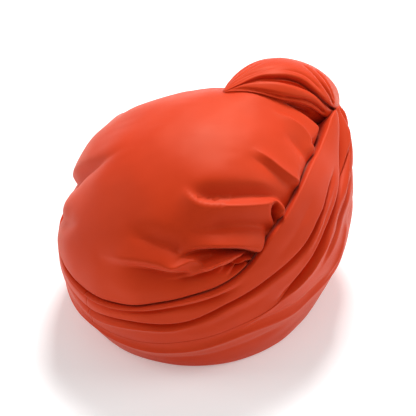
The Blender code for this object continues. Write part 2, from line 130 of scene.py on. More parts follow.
# Broad swells of the form: longitude, height, reach along the surface and rise
Swell = namedtuple("Swell", "name lon height reach rise")
CROWN_SWELLS = table(
    Swell,
    ("left lobe", -113, 117, 34, 6.5),
    ("back lobe", -150, 150, 30, 3),
    ("nape puff", -158, 86, 30, 3.5),
    ("back fold", -147, 100, 13, 3),
    ("right shoulder", 110, 128, 35, 2),
    ("left shoulder", -92, 138, 22, 3.2),
    ("left waist", -137, 112, 13, -2.6),
    ("back waist", -152, 97, 12, -1.5),
    ("knot rear bed", -18, 160, 22, 3),
)
BAND_SWELLS = table(
    Swell,
    ("knot root", 2, 122, 33, 26),
    ("front gathers", 14, 96, 26, 6),
    ("right temple", 48, 74, 22, -4),
    ("right jaw", 76, 24, 40, -4),
    ("left jaw", -72, 26, 45, -5),
    ("nape", -174, 54, 30, -0.5),
)

# Soft uneven undulations: their usual length, their rise and the seed of their random directions
Ripple = namedtuple("Ripple", "length rise seed")
CROWN_RIPPLES = (Ripple(length=42, rise=0.35, seed=3), Ripple(length=15, rise=0.06, seed=4))
BAND_RIPPLE = Ripple(length=40, rise=0.25, seed=5)
BAND_RIPPLE_CROWDING = (1, 1, 2.2)
RIPPLE_WAVES = 24
RIPPLE_LEAST, RIPPLE_MOST = 0.7, 1.6

# Folds: fall-off above and below the path, roundness of the crest, rise (valleys are negative), the share of
# the path over which each end fades, and the path as longitude and height
Fold = namedtuple("Fold", "name above below crest rise fade_in fade_out path")
CROWN_FOLDS = table(
    Fold,
    ("left notch", 4.5, 8, 1.5, -9, 0, 0.8, ((-122, 80), (-130, 102), (-137, 124), (-143, 138),
        (-147, 148), (-150, 157))),
    ("left lip", 8, 3, 2, 1.5, 0.1, 0.7, ((-118, 82), (-126, 104), (-133, 126), (-139, 140),
        (-144, 150))),
    ("nape dent", 6, 6, 2, -3, 0, 0.6, ((-136, 80), (-150, 92), (-160, 103), (-164, 114))),
    ("long ledge", 16, 9, 4, 2.6, 0.2, 0.4, ((78, 140), (84, 146), (90, 150.5), (98, 154), (106, 156),
        (116, 157), (124, 157.5), (134, 157.5), (142, 157), (152, 158))),
    ("long valley", 9, 4.6, 1.5, -5.8, 0, 0.25, ((77, 126), (81, 133), (85, 139), (90, 143), (97, 146),
        (104, 147.8), (110, 148.8), (117, 149.8), (125, 150.6), (132, 152), (139, 153.8))),
    ("long pleat", 3.2, 8, 0.9, 5, 0, 0.22, ((88, 119), (86.6, 124), (85.4, 128), (84.6, 131),
        (84.8, 134), (86, 136.2), (88, 137.2), (90.5, 137.7), (94, 138.6), (99, 140.2), (106, 142.2),
        (112, 143.7), (118, 145), (124, 146.2), (130, 147.6), (134, 149.4), (138, 151.4), (142, 153.5),
        (147, 155.5))),
    ("long flank", 6, 6, 3, -6.5, 0, 0.35, ((89, 113), (93, 120), (96, 125), (102, 129.5), (110, 132.5),
        (116, 133.5), (123, 133.5), (132, 132.5), (140, 130.5))),
    ("side pleat", 4.6, 4, 0.7, 3.6, 0, 0.3, ((66, 130), (67.5, 137), (69, 142), (70.5, 148),
        (71.5, 153), (72.5, 159), (73.5, 164))),
    ("side hollow", 4, 7, 2, -3, 0, 0.5, ((71, 134), (73, 142), (75, 149), (77.5, 155), (81, 160),
        (86, 164))),
    ("side pit", 4.5, 5, 1.6, -8, 0, 0.65, ((71, 123), (73, 129.5), (76, 135))),
    ("long pit", 3.6, 3.6, 1.4, -8, 0, 0.6, ((78, 120), (80.5, 126), (83, 130.5))),
    ("front ridge", 8, 2.5, 0.8, 4, 0, 0.5, ((41, 135), (38, 139), (34, 142.5), (30, 146.5), (25, 152),
        (19, 157), (9, 161.5))),
    ("front hollow", 6, 6, 2.5, -3.5, 0, 0.5, ((50, 135), (47, 141), (44, 146), (40, 152), (35, 157))),
    ("front pit", 2.8, 2.8, 1, -6, 0, 0.5, ((32, 132), (35, 137), (39, 141))),
    ("gather ledge", 9, 2, 1.2, 5, 0, 0.5, ((102, 109), (107, 116), (112, 119.5), (120, 121.5),
        (126, 122.2), (132, 121.7), (137, 119.5))),
    ("gather", 1.3, 5.5, 0.5, -12, 0, 0.5, ((100, 104), (105, 111), (109, 114.5), (114, 117),
        (120, 118.8), (126, 119.6), (131, 119), (136, 116), (140, 111.5))),
    ("gather pit", 4, 4, 1.5, -7, 0, 0.5, ((98, 102), (103, 107.5), (108, 111.5), (112, 113.5))),
    ("under ridge", 1.8, 3, 0.5, 9, 0, 0.1, ((102, 105), (107, 111), (112, 113), (116, 112.5),
        (120, 111), (124, 109), (127.5, 107.5))),
    ("under hollow", 2.4, 2.2, 1, -4, 0.25, 0.25, ((121, 115), (125, 113), (129, 113.5))),
    ("under bump", 2.4, 2.6, 0.8, 4.5, 0.3, 0.4, ((126, 108), (129, 112.5), (132, 113.5), (136, 111),
        (140, 108.5), (146, 107.5))),
    ("small valley", 1.3, 1.6, 0.5, -5, 0, 0.4, ((103, 107), (107, 110), (111, 109.8), (114, 108),
        (117, 105), (121, 101))),
    ("small pleat", 1.1, 1.2, 0.4, 3.4, 0, 0.4, ((104, 105), (108, 107.4), (111, 107.2), (114, 105),
        (118, 101))),
    ("small valley low", 1.1, 1.3, 0.4, -5, 0, 0.4, ((104, 103), (108, 105.2), (111, 104.4),
        (114, 102.2), (118, 98))),
    ("lower crease", 1.2, 3.4, 0.5, -6.5, 0.1, 0.45, ((108, 103.5), (114, 106), (120, 106), (124, 103.8),
        (129, 101.5), (135, 99), (144, 96.5))),
    ("soft ledge", 10, 3.5, 2, 4.6, 0.15, 0.35, ((135, 107), (142, 109), (148, 110.5), (156, 110),
        (163, 108), (170, 105), (178, 101))),
    ("soft crease", 1.8, 8, 0.8, -6, 0.12, 0.5, ((131, 104), (136, 103.3), (142, 103.3), (148, 103.8),
        (155, 103.8), (162, 102), (169, 100))),
    ("back hollow", 8, 5, 2.5, -5.5, 0.08, 0.5, ((137, 119), (140, 121), (145, 124), (153, 126),
        (161, 126), (171, 125))),
    ("over back hollow", 8, 8, 5, 1.5, 0.3, 0.5, ((142, 130), (152, 134), (166, 137))),
    ("low back ridge", 9, 9, 6, 1.2, 0.3, 0.5, ((132, 92), (146, 88), (160, 84), (174, 82))),
    ("loop hollow", 2.1, 1.8, 0.9, -15, 0.12, 0, ((86.6, 135), (88, 133), (88.6, 130.5), (88.6, 127.5),
        (88.2, 120))),
    ("loop pit", 5, 5, 2, -6, 0, 0.6, ((90, 112), (94, 119), (98, 125))),
    ("knot bed", 12, 6, 4, 6, 0.5, 0.1, ((-34, 163), (-24, 162), (-12, 160), (0, 156.5), (10, 151),
        (17, 144.5), (21, 137), (23, 129))),
    ("left pleat", 3, 5, 1.2, 3, 0, 0.7, ((-58, 128), (-63, 132), (-69, 135), (-76, 136))),
    ("left hollow", 4, 5, 2, -2.6, 0, 0.7, ((-66, 130), (-74, 133), (-84, 134))),
    ("left lower pleat", 3, 5, 1.2, 2.6, 0, 0.7, ((-86, 118), (-94, 123), (-102, 125), (-110, 125))),
    ("left front ridge", 3, 4, 1.2, 2.4, 0, 0.7, ((-38, 128), (-37, 132), (-34, 136))),
)
BAND_FOLDS = table(
    Fold,
    ("top strand crest", 2, 2.4, 0.8, 1.4, 0.2, 0.2, ((104, 101), (112, 94), (120, 88), (128, 84),
        (136, 80), (144, 75), (152, 69.5), (162, 64.5), (174, 61.5), (186, 61.5), (198, 64.5), (210, 71),
        (224, 81))),
    ("top strand crease", 1.4, 2.2, 0.6, -4.4, 0.12, 0.25, ((110, 92), (118, 84.5), (124, 80.5),
        (132, 76.6), (140, 72.8), (148, 68), (158, 63), (168, 59), (180, 57), (192, 59), (202, 63),
        (214, 70), (228, 80), (246, 90))),
    ("under top strand", 1.6, 2.4, 0.6, 1.3, 0.25, 0.25, ((122, 81), (130, 77), (138, 72.5), (148, 66.5),
        (159, 62), (171, 58), (184, 56), (198, 58), (210, 62))),
    ("middle crease", 1.1, 1.9, 0.4, -8, 0.15, 0.25, ((40, 119), (46, 117.5), (52, 116), (58, 113.5),
        (64, 110), (70, 106.3), (76, 101), (82, 96), (88, 92.2), (94, 88.8), (100, 85.4), (106, 81.2),
        (112, 76.8), (118, 72.4), (124, 66.8), (130, 61.4), (136, 57.8), (142, 55.6), (150, 54),
        (158, 52), (168, 48.4), (178, 44.5), (190, 44.5), (202, 48.5), (216, 55))),
    ("middle lip", 1.2, 3, 0.6, 1.4, 0.2, 0.2, ((60, 110.6), (66, 106.6), (71, 103), (77, 98),
        (82, 93.8), (88, 90), (94, 86.6), (100, 83), (106, 78.8), (112, 74.4), (118, 70), (124, 64.4),
        (130, 59))),
    ("middle crest", 3, 1.6, 0.8, 2, 0.25, 0.25, ((118, 67), (128, 59.5), (136, 54), (142, 51.5),
        (149, 50), (157, 47.5), (167, 43.5), (177, 40), (188, 39), (200, 42))),
    ("second ridge", 2.8, 3, 1, 2, 0.5, 0.4, ((46, 116), (54, 114), (60, 111), (66, 107.5), (72, 102.5),
        (78, 96.5), (85, 88))),
    ("second valley", 2.4, 2.8, 0.8, -1.8, 0.5, 0.4, ((44, 113), (53, 110), (61, 106), (69, 101),
        (76, 94), (82, 86))),
    ("long crease", 1.8, 2.4, 0.5, -6.5, 0.03, 0.28, ((9, 126), (13, 122), (20, 118.5), (28, 115),
        (37, 110.5), (46, 106.5), (54, 103), (61, 100), (68, 95.5), (74, 89.5), (79, 83.5), (84, 77.5),
        (89, 72), (94, 67.5), (100, 63))),
    ("long slot", 1.2, 1.5, 0.4, -8, 0.15, 0.3, ((20, 117.3), (28, 113.8), (37, 109.3), (46, 105.2),
        (54, 101.7), (61, 98.5), (68, 93.9), (74, 87.9), (79, 81.9), (84, 75.9), (89, 70.6), (94, 66.2),
        (100, 61.8))),
    ("long lip", 3.4, 1.3, 0.8, 2, 0.3, 0.3, ((28, 116.6), (37, 112.2), (46, 108.2), (54, 104.8),
        (61, 101.8), (68, 97.4), (74, 91.6), (79, 85.6), (84, 79.4), (89, 73.8), (94, 69.2))),
    ("front strand", 2.6, 3, 0.8, 3, 0.1, 0.4, ((6, 118), (12, 114), (20, 110.5), (30, 105.5), (40, 100),
        (50, 95.5), (60, 90))),
    ("long crease crest", 1.4, 4, 0.7, 2.4, 0.3, 0.3, ((60, 93), (67, 88.5), (74, 81), (79, 75),
        (85, 69), (91, 64), (99, 59))),
    ("upper soft fold", 5, 5, 2.5, -1, 0.4, 0.4, ((58, 127), (70, 121), (82, 112), (94, 101), (106, 92))),
    ("lower soft fold", 4, 4, 2, -1.2, 0.3, 0.4, ((96, 76), (108, 68), (120, 59), (134, 48))),
    ("brow pleat", 1.3, 3.4, 0.5, -4, 0.3, 0.35, ((14, 90), (26, 90), (38, 90), (50, 88.5), (59, 86),
        (68, 79), (76, 69))),
    ("brow crest", 1.6, 4, 0.8, 1.6, 0.3, 0.35, ((26, 86), (38, 86), (50, 85), (60, 81), (69, 73),
        (77, 63))),
    ("temple pleat", 1.2, 2.6, 0.5, -3.2, 0.3, 0.35, ((24, 100), (34, 98), (44, 96), (54, 92.5),
        (62, 88))),
    ("satin ridge", 2.4, 3, 0.7, 2.4, 0.2, 0.5, ((44, 74), (52, 70), (59, 65), (65, 56.5), (71, 48),
        (79, 41))),
    ("low ridge", 2.6, 5, 0.8, 2.6, 0.15, 0.2, ((48, 67), (54, 61), (60, 54), (67, 47), (75, 41.5),
        (84, 38.5), (94, 39.5), (104, 41), (112, 40), (120, 36), (128, 31.5), (137, 27.5), (150, 24),
        (166, 23), (180, 25), (196, 24), (212, 27), (230, 33), (248, 38))),
    ("over low ridge", 3.5, 3, 1.5, -1.6, 0.3, 0.4, ((60, 61), (70, 51), (82, 46), (94, 46.5),
        (106, 47.5), (120, 42), (134, 34))),
    ("side ridge", 3, 3, 1, 1.3, 0.3, 0.3, ((92, 66), (98, 60), (104, 54), (110, 48), (116, 42))),
    ("rim fold", 4, 5, 2, -1.3, 0.3, 0.4, ((84, 22), (98, 26), (112, 24), (130, 17), (150, 13),
        (170, 14))),
    ("strand line", 1.2, 1.8, 0.5, -5, 0.1, 0.3, ((5, 125), (8, 120), (12, 115), (17, 109), (24, 103),
        (32, 97.5))),
    ("left tuck", 4, 9, 2, -5, 0.3, 0.3, ((-104, 105), (-110, 98), (-116, 93), (-122, 88), (-128, 84),
        (-134, 81), (-142, 77.5))),
    ("left middle crease", 1.3, 3.4, 0.4, -4, 0.2, 0.3, ((-10, 108), (-20, 114), (-32, 117), (-44, 117),
        (-58, 113.5), (-72, 107), (-84, 98), (-96, 90), (-110, 80), (-124, 69), (-138, 58), (-150, 52))),
    ("left second crease", 1.2, 3, 0.5, -2.6, 0.3, 0.4, ((-24, 126), (-40, 128), (-56, 129), (-70, 124),
        (-84, 114), (-98, 103), (-112, 90), (-128, 80))),
    ("left third crease", 1.2, 3, 0.5, -2.6, 0.4, 0.3, ((-60, 104), (-74, 96), (-88, 84), (-102, 74),
        (-118, 62), (-136, 50), (-156, 42))),
    ("brow pleat left", 1.3, 3.4, 0.5, -4, 0.3, 0.35, ((-12, 88), (-24, 89), (-36, 89), (-50, 90),
        (-63, 86), (-76, 72))),
    ("left lower brow", 1.4, 3.4, 0.6, -2.8, 0.3, 0.35, ((-16, 74), (-34, 74), (-52, 73), (-70, 64),
        (-86, 52))),
    ("left low ridge", 3, 5, 0.9, 2.2, 0.2, 0.35, ((-48, 62), (-64, 54), (-80, 47), (-96, 43),
        (-110, 42))),
    ("brow crossing", 1.4, 3.4, 0.6, -2.4, 0.3, 0.5, ((16, 74), (32, 73), (48, 72))),
    ("brow low", 5, 3, 1.5, -1.6, 0.4, 0.4, ((-30, 40), (-10, 44), (10, 44), (30, 42), (48, 46))),
    ("front gather", 4, 4, 0.8, -4.5, 0.5, 0, ((2, 72), (1, 88), (0, 104), (0, 120))),
    ("front gather right", 3.5, 3.5, 0.7, -4, 0.5, 0, ((22, 78), (17, 92), (11, 106), (5, 120))),
    ("front gather far right", 2.5, 2.5, 0.6, -3.2, 0.4, 0, ((34, 92), (27, 100), (19, 108), (11, 117))),
    ("front gather left", 3.5, 3.5, 0.7, -4, 0.5, 0, ((-20, 76), (-15, 90), (-10, 105), (-5, 120))),
    ("front gather far left", 2.5, 2.5, 0.6, -3, 0.4, 0, ((-34, 90), (-26, 99), (-18, 108), (-10, 117))),
)

# How folds are worked out: their reach as a multiple of the fall-off, the sampling of a path, how places
# between two stretches of a path share them, and how far a fold runs on past the end of its path
FOLD_REACH = 4.5
FOLD_SAMPLE_STEP = 1.2
FOLD_LEAST_SAMPLES = 12
COARSE_STEP = 6
PLACES_AT_ONCE = 4000
BLEND_NEAR = 4.5
BLEND_FAR = 0.12
END_LEAST = 1.0
END_SHARE = 0.45

# The knot: a bowed bun between two ends where its folds converge
KNOT_REAR = np.array((26.0, -39.0, 165.0))
KNOT_FRONT = np.array((0.0, -136.0, 114.0))
KNOT_OUTWARD = np.array((0.0, -0.6, 0.8))
KNOT_HEIGHT = 26.0
KNOT_HALF_WIDTH = 34.0
KNOT_BOW = 8.0
KNOT_SKEW = 1.12
REAR_TAPER, REAR_ROUND = 2.1, 0.76
FRONT_TAPER, FRONT_ROUND = 2.9, 0.52

# The knot's flat underside, which sags from a station on
KNOT_FLAT = 5.0
KNOT_SAG = 12.0
SAG_START, SAG_LENGTH = 0.3, 0.3
# Keeps the underside's reach finite at its sides
LEAST_COSINE = 1e-6

# The pinch that draws the knot's near side in towards its front end
PINCH = 0.24
PINCH_START, PINCH_LENGTH = 0.72, 0.25
PINCH_ANGLE, PINCH_SPREAD = 15, 40

# The knot's folds: the length left free at each end, their core, rolls and least skin, and their meshes
KNOT_END = 0.012
KNOT_CORE = 0.30
KNOT_ROLL_DEPTH = 0.85
KNOT_LEAST_ROLL = 0.3
KNOT_LEAST_SKIN = 0.2
KNOT_COLUMNS = 150
KNOT_ROWS = 72
KNOT_SIDE_ROWS = 6
CREASE_SAMPLES = 90
CREASE_ROUND = 0.5

# Each knot piece covers the angles between two lines that run from end to end. Angle 0 is outward, 90 the
# wearer's right, -90 the wearer's left
KNOT_STATIONS = (0.0, 0.1, 0.2, 0.3, 0.4, 0.5, 0.6, 0.7, 0.8, 0.9, 1.0)
KNOT_LINES = {
    "far": (-122,) * len(KNOT_STATIONS),
    "left": (-64, -66, -66, -65, -64, -64, -64, -64, -64, -64, -64),
    "wrap edge": (27, 24, 22, 31, 37, 46, 61, 72, 77, 79, 79),
    "roll top": (32, 30, 38, 45, 53, 59, 66, 77, 82, 84, 84),
    "roll low": (52, 62, 72, 79, 82, 84, 88, 94, 98, 99, 99),
    "near": (70, 76, 86, 95, 102, 108, 116, 124, 128, 128, 128),
}

# A knot piece: the lines where it starts and stops, its share of the full radius, and how widely its edges
# roll at the start and the stop
KnotPiece = namedtuple("KnotPiece", "name start stop radius roll_start roll_stop")
KNOT_PIECES = table(
    KnotPiece,
    ("knot_left_roll", "far", "left", 0.96, 5, 3.5),
    ("knot_wrap", "left", "wrap edge", 1.0, 3.5, 2.6),
    ("knot_fold", "wrap edge", "roll top", 0.76, 0.8, 0.8),
    ("knot_roll", "roll top", "roll low", 0.98, 4.5, 3.5),
    ("knot_loop", "roll low", "near", 0.84, 2.0, 4.0),
)

# Creases and strands of the knot: width, depth (a raised strip's is negative), the share of the path over
# which each end fades, and the path as a station along the knot and an angle round it
KnotCrease = namedtuple("KnotCrease", "name width depth fade_in fade_out path")
KNOT_CREASES = table(
    KnotCrease,
    ("far crease", 1.6, 3, 0.05, 0.05, ((0, -92), (0.5, -96), (1, -92))),
    ("left crease", 1.5, 2.4, 0.05, 0.1, ((0, -50), (0.2, -46), (0.4, -44), (0.7, -42), (1, -40))),
    ("high strand", 1.2, 2.2, 0.05, 0.5, ((0.03, -45), (0.08, -31), (0.15, -25), (0.24, -24),
        (0.36, -24))),
    ("middle strand", 1.2, 2.6, 0.05, 0.6, ((0.02, -24), (0.07, -10), (0.14, -4), (0.21, 2), (0.3, 7),
        (0.4, 9))),
    ("low strand", 1, 1.8, 0.05, 0.5, ((0.02, 10), (0.09, 14), (0.15, 10), (0.23, 13), (0.3, 20))),
    ("wrap strand", 1.2, 1.4, 0.4, 0.2, ((0.3, 17), (0.42, 24), (0.52, 33), (0.6, 48), (0.66, 60))),
    ("front strand", 1.2, 3, 0.3, 0.05, ((0.56, -2), (0.61, 13), (0.64, 28), (0.67, 42), (0.71, 54),
        (0.75, 64), (0.78, 72))),
    ("front edge", 1, 1.8, 0.3, 0.1, ((0.66, 4), (0.7, 20), (0.73, 36), (0.76, 52), (0.79, 66))),
    ("inner strip", 0.9, -2.4, 0.2, 0.15, ((0.3, 38), (0.36, 42.5), (0.42, 45.5), (0.48, 50), (0.53, 57),
        (0.57, 63))),
    ("roll crease", 1, 3.4, 0.05, 0.08, ((0.03, 38), (0.07, 50), (0.12, 59), (0.21, 68), (0.3, 74),
        (0.41, 75.5), (0.5, 76), (0.58, 79), (0.65, 84), (0.72, 90))),
    ("roll fine crease", 0.8, 1.5, 0.1, 0.4, ((0.07, 44), (0.12, 53), (0.19, 62), (0.3, 69), (0.41, 71))),
    ("loop hollow", 4, 6, 0.3, 0.3, ((0.34, 90), (0.44, 95), (0.54, 99), (0.64, 102))),
)

# The satin: its colours and where they lie in the tone, its weave and its sheen
CLOTH_RED = (0.69, 0.043, 0.0055)
CLOTH_DEEP = (0.62, 0.035, 0.0045)
DEEP_TONE, BRIGHT_TONE = 0.3, 0.7
TONE = {"Scale": 14.0, "Detail": 3.0}
ROUGHNESS = {"To Min": 0.46, "To Max": 0.58}
WEAVE_PITCH = 0.55
# The scale at which a wave texture repeats once in a metre
WAVE_PER_METRE = np.pi * 0.1
WEAVE_SCALE = WAVE_PER_METRE / (WEAVE_PITCH * METRES)
WEAVE = {"Scale": WEAVE_SCALE, "Distortion": 0.4, "Detail": 1.0, "Detail Scale": 2.0}
WEAVE_SHADE = 0.12
WEAVE_BUMP = {"Strength": 0.25, "Distance": 0.00012}
SATIN = {
    "Sheen Weight": 0.18,
    "Sheen Roughness": 0.4,
    "Sheen Tint": (1.0, 0.62, 0.46, 1.0),
    "Specular IOR Level": 0.34,
    "Specular Tint": (1.0, 0.62, 0.4, 1.0),
    "IOR": 1.46,
}

# The floor's half side in metres, and its paint
FLOOR_HALF = 6.0
FLOOR_PAINT = {
    "Base Color": (0.85, 0.85, 0.85, 1),
    "Roughness": 0.9,
    "Emission Color": (1, 1, 1, 1),
    "Emission Strength": 0.25,
}

# The camera: its angles, its distance in metres, its sensor in millimetres, and the photograph's frame, with
# the pixel of the form's centre
CAMERA_AZIMUTH = 230.0
CAMERA_ELEVATION = 40.0
CAMERA_DISTANCE = 8.0
SENSOR = 36.0
IMAGE_SIDE = 416
PIXELS_PER_MM = 1.249
FORM_PIXEL = (206.0, 226.0)

# The height in metres that the lights face, and the surround's brightness
LIGHT_AIM = 0.09
SURROUND = 0.4


def hermite(value, stations, heights):
    """A smooth curve through a table's heights at its stations."""
    stations = np.asarray(stations, float)
    heights = np.asarray(heights, float)
    slopes = np.gradient(heights, stations)
    index = np.clip(np.searchsorted(stations, value, side="right") - 1, 0, len(stations) - 2)
    gap = stations[index + 1] - stations[index]
    part = np.clip((value - stations[index]) / gap, 0, 1)
    rest = 1 - part
    return (
        heights[index] * (1 + 2 * part) * rest**2
        + heights[index + 1] * (3 - 2 * part) * part**2
        + gap * slopes[index] * part * rest**2
        - gap * slopes[index + 1] * rest * part**2
    )


def ease(value):
    """A smooth step from 0 to 1."""
    value = np.clip(value, 0, 1)
    return value * value * (3 - 2 * value)


def smooth_path(points, samples):
    """A smooth curve through a few points of two coordinates."""
    points = np.array(points, float)
    stations = np.linspace(0, len(points) - 1, samples)
    padded = np.vstack([2 * points[0] - points[1], points, 2 * points[-1] - points[-2]])
    index = np.minimum(stations.astype(int), len(points) - 2)
    part = (stations - index)[:, None]
    before, first, second, after = (padded[index + shift] for shift in range(4))
    return (
        first
        + part * (second - before) / 2
        + part**2 * (before - 2.5 * first + 2 * second - after / 2)
        + part**3 * (1.5 * (first - second) + (after - before) / 2)
    )


def graded(stretches):
    """Values over neighbouring stretches, each at its own step, without the last stretch's end."""
    return np.concatenate([
        np.linspace(low, high, round((high - low) / step), endpoint=False) for low, high, step in stretches
    ])


def half_sizes(height):
    """Half width, and half length to the front and back, of the smooth form at a height."""
    rise = np.clip((height - WIDEST_HEIGHT) / CROWN_RISE, 0, 1)
    dome = np.sqrt(1 - rise**2)
    tuck = np.clip(1 - height / WIDEST_HEIGHT, 0, 1) ** RIM_CURVE
    side = HALF_WIDTH * dome - (HALF_WIDTH - RIM_HALF_WIDTH) * tuck
    front = HALF_LENGTH * dome - (HALF_LENGTH - RIM_FRONT) * tuck
    back = HALF_LENGTH * dome - (HALF_LENGTH - RIM_BACK) * tuck
    return side, front, back


def form_point(lon, height):
    """A point of the smooth form that every layer is measured from."""
    lon, height = np.broadcast_arrays(lon, height)
    sine = np.sin(np.radians(lon))
    cosine = np.cos(np.radians(lon))
    side, front, back = half_sizes(height)
    low = np.clip(1 - height / WIDEST_HEIGHT, 0, 1)
    power = 2 + low * np.where(cosine > 0, -FOREHEAD_POINT, NAPE_SQUARE)
    reach = (np.abs(sine) ** power + np.abs(cosine) ** power) ** (-1 / power)
    length = np.where(cosine > 0, front, back)
    return np.stack([-side * sine * reach, -length * cosine * reach, height], axis=-1)


def form_normal(lon, height):
    """Outward direction of the smooth form."""
    height = np.clip(height, 0, WIDEST_HEIGHT + CROWN_RISE - POLE_MARGIN)
    along = form_point(lon + NORMAL_LON_STEP, height) - form_point(lon - NORMAL_LON_STEP, height)
    up = form_point(lon, height + NORMAL_HEIGHT_STEP) - form_point(lon, height - NORMAL_HEIGHT_STEP)
    normal = np.cross(along, up)
    normal /= np.linalg.norm(normal, axis=-1, keepdims=True)
    outward = form_point(lon, height) - (0, 0, WIDEST_HEIGHT)
    flip = np.sign(np.sum(normal * outward, axis=-1, keepdims=True))
    return normal * flip


def meridian_table():
    """Heights and the lengths of cloth from the rim to them, along a mean meridian."""
    turn = np.linspace(0, np.pi / 2, MERIDIAN_DOME_STEPS)
    low = np.linspace(0, WIDEST_HEIGHT, MERIDIAN_LOW_STEPS)[:-1]
    heights = np.concatenate([low, WIDEST_HEIGHT + CROWN_RISE * np.sin(turn)])
    side, front, _ = half_sizes(heights)
    radius = (side + front) / 2
    steps = np.hypot(np.diff(heights), np.diff(radius))
    return heights, np.concatenate([[0], np.cumsum(steps)])


MERIDIAN_HEIGHTS, MERIDIAN_LENGTHS = meridian_table()
TOP_LENGTH = MERIDIAN_LENGTHS[-1]


def length_at(height):
    """Length of cloth from the rim up to a height."""
    return np.interp(height, MERIDIAN_HEIGHTS, MERIDIAN_LENGTHS)


def height_at(length):
    """Height that a length of cloth from the rim reaches."""
    return np.interp(length, MERIDIAN_LENGTHS, MERIDIAN_HEIGHTS)


def band_length(name, lon):
    """Length of cloth from the rim up to one of the band's lines, the same on both sides."""
    lons = [-side for side in BAND_LONS[:0:-1]] + list(BAND_LONS)
    heights = BAND_LINES[name]
    return length_at(hermite(lon, lons, heights[:0:-1] + heights))


def surface(lon, length, lift):
    """Points at a lift from the form, with the hat's box centred on the origin."""
    height = height_at(length)
    points = form_point(lon, height) + form_normal(lon, height) * lift[..., None]
    return points + (0, CENTRE_Y, 0)


def crest_profile(across, above, below, crest):
    """Rise of a fold of unit height at a distance across it."""
    width = np.where(across > 0, above, below)
    fall = np.exp(-(np.sqrt(across**2 + crest**2) - crest) / width)
    return fall * np.clip(1 - (across / (FOLD_REACH * width)) ** 2, 0, 1) ** 2


def fold_line(fold):
    """A fold's path over the form: its points, its upward direction across them and its strength there."""
    corners = form_point(*np.array(fold.path, float).T)
    span = np.linalg.norm(np.diff(corners, axis=0), axis=1).sum()
    path = smooth_path(fold.path, max(FOLD_LEAST_SAMPLES, int(span / FOLD_SAMPLE_STEP)))
    lon, height = path[:, 0], path[:, 1]
    line = form_point(lon, height)
    upward = np.cross(np.gradient(line, axis=0), form_normal(lon, height))
    upward /= np.linalg.norm(upward, axis=1, keepdims=True)
    upward *= np.sign(np.mean(upward[:, 2]))
    along = np.linspace(0, 1, len(line))
    strength = ease(along / fold.fade_in) if fold.fade_in else np.ones(len(line))
    strength = strength * (ease((1 - along) / fold.fade_out) if fold.fade_out else 1)
    return line, upward, strength


def fold_lift(places, folds):
    """Rise of all folds at each place of the form. Only places near a fold are worked out."""
    flat = places.reshape(-1, 3)
    lift = np.zeros(len(flat))
    for fold in folds:
        line, upward, strength = fold_line(fold)
        reach = FOLD_REACH * max(fold.above, fold.below) + fold.crest
        inside = (flat > line.min(0) - reach) & (flat < line.max(0) + reach)
        boxed = np.nonzero(np.all(inside, axis=1))[0]
        past_reach = END_LEAST + END_SHARE * (fold.above + fold.below)
        coarse = line[::COARSE_STEP]
        limit = (reach + COARSE_STEP * FOLD_SAMPLE_STEP) ** 2
        for chunk in np.array_split(boxed, max(1, len(boxed) // PLACES_AT_ONCE)):
            rough = np.sum((flat[chunk][:, None, :] - coarse) ** 2, axis=2).min(axis=1)
            chunk = chunk[rough < limit]
            offset = flat[chunk][:, None, :] - line
            apart = np.sum(offset**2, axis=2)
            nearest = apart.min(axis=1, keepdims=True)
            weight = np.exp((nearest - apart) / (BLEND_NEAR + BLEND_FAR * nearest))
            across = np.einsum("psx,sx->ps", offset, upward)
            rise = strength * crest_profile(across, fold.above, fold.below, fold.crest)
            side = np.take_along_axis(across, apart.argmin(axis=1)[:, None], axis=1)
            past_end = np.maximum(nearest - side**2 - FOLD_SAMPLE_STEP**2, 0)[:, 0]
            rise = np.sum(weight * rise, axis=1) / np.sum(weight, axis=1) * np.exp(-past_end / past_reach**2)
            lift[chunk] += fold.rise * rise
    return lift.reshape(places.shape[:-1])


def swell_lift(places, swells):
    """Rise of all broad swells at each place of the form."""
    lift = np.zeros(places.shape[:-1])
    for swell in swells:
        centre = form_point(swell.lon, swell.height)
        distance = np.linalg.norm(places - centre, axis=-1)
        lift += swell.rise * np.exp(-((distance / swell.reach) ** 2))
    return lift


def ripple_lift(places, ripple):
    """Rise of a ripple at each place of the form, from a few waves in fixed random directions."""
    random = np.random.default_rng(ripple.seed)
    lift = np.zeros(places.shape[:-1])
    for _ in range(RIPPLE_WAVES):
        direction = random.normal(size=3)
        direction /= np.linalg.norm(direction)
        wave = 2 * np.pi / (ripple.length * random.uniform(RIPPLE_LEAST, RIPPLE_MOST))
        lift += np.sin(places @ direction * wave + random.uniform(0, 2 * np.pi))
    return ripple.rise * lift / np.sqrt(RIPPLE_WAVES)


def crown_lift(lon, length):
    """The crown's outer surface: puffed above the band's edge and drawn in under the band."""
    places = form_point(lon, height_at(length))
    folds = fold_lift(places, CROWN_FOLDS)
    above = length - band_length("edge", lon) - PUFF_START
    reach = PUFF_REACH - PUFF_BY_FOLD * np.clip(folds, PUFF_FOLD_LEAST, PUFF_FOLD_MOST)
    reach = reach * np.interp(lon, PUFF_LONS, PUFF_SHARES)
    puff = np.sqrt(1 - (1 - np.clip(above / reach, 0, 1)) ** 2)
    shape = swell_lift(places, CROWN_SWELLS) + folds
    for ripple in CROWN_RIPPLES:
        shape = shape + ripple_lift(places, ripple)
    return CROWN_UNDER_BAND + puff * (shape - CROWN_UNDER_BAND)


def band_lift(lon, length):
    """The band's outer surface, before its edges are rounded."""
    places = form_point(lon, height_at(length))
    shape = BAND_RISE + swell_lift(places, BAND_SWELLS) + fold_lift(places, BAND_FOLDS)
    shape += ripple_lift(places * BAND_RIPPLE_CROWDING, BAND_RIPPLE)
    return np.maximum(shape, BAND_INSIDE + CLOTH)


def rounded_lift(lift, from_edge, roll, drop):
    """Rolls a layer's surface inward near one edge."""
    curl = 1 - np.sqrt(1 - (1 - np.clip(from_edge / roll, 0, 1)) ** 2)
    return lift - drop * curl


